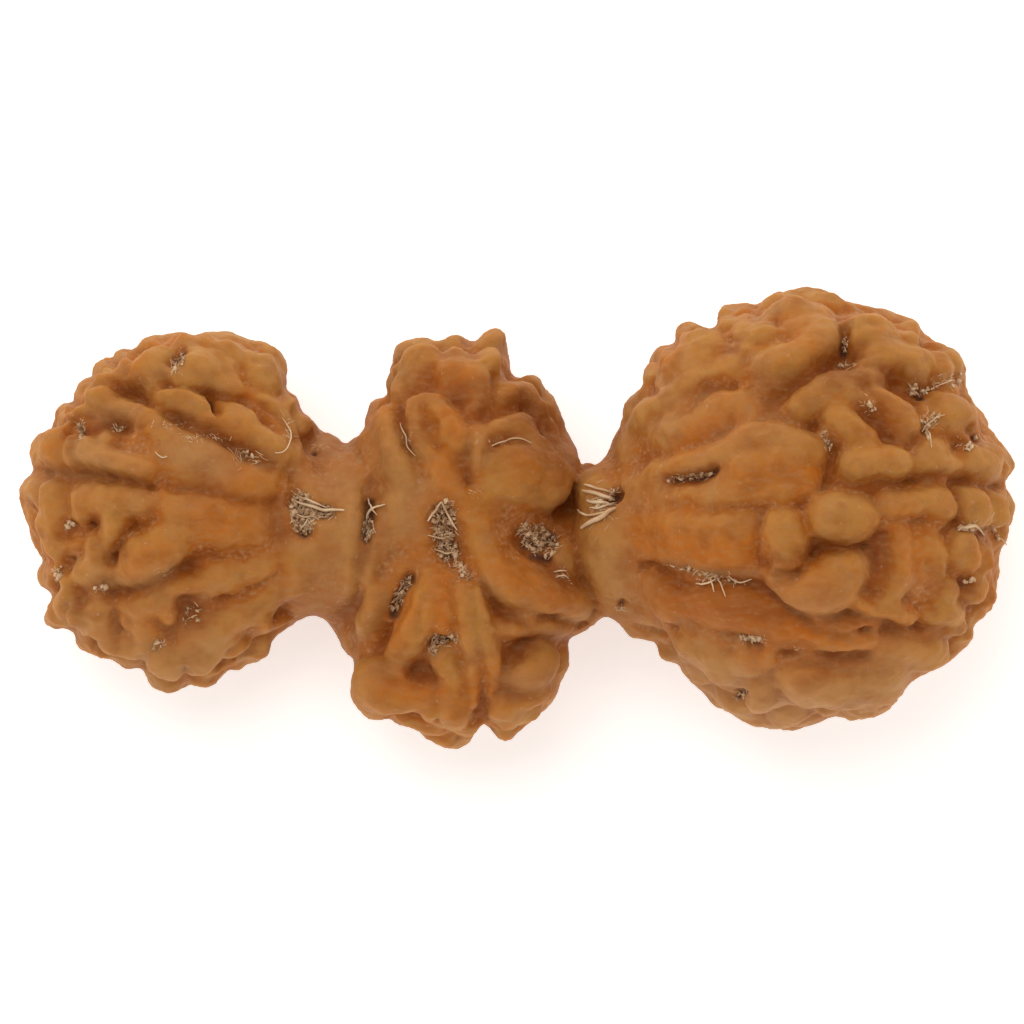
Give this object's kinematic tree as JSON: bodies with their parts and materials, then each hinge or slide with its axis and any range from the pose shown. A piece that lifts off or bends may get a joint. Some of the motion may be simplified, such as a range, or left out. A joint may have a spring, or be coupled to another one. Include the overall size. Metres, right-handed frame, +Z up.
{
  "type": "rudraksha seed",
  "caption": "Dried rudraksha stones grown together in a row, with deep lines from pole to pole, ribs that break into knobs, and pits.",
  "frame": {"origin": "centre of the bounding box in plan, on the rest plane", "axes": "+X along the row towards the large stone, +Z up, so the side seen in the picture faces up"},
  "size_m": [0.035, 0.0161, 0.015],
  "materials": {
    "stone_shell": "dry woody shell, orange-tan, faintly waxy on the knobs, darker and reddish in the pits"
  },
  "bodies": {
    "root": {"fused_stones": "stone_shell"}
  },
  "joints": []
}
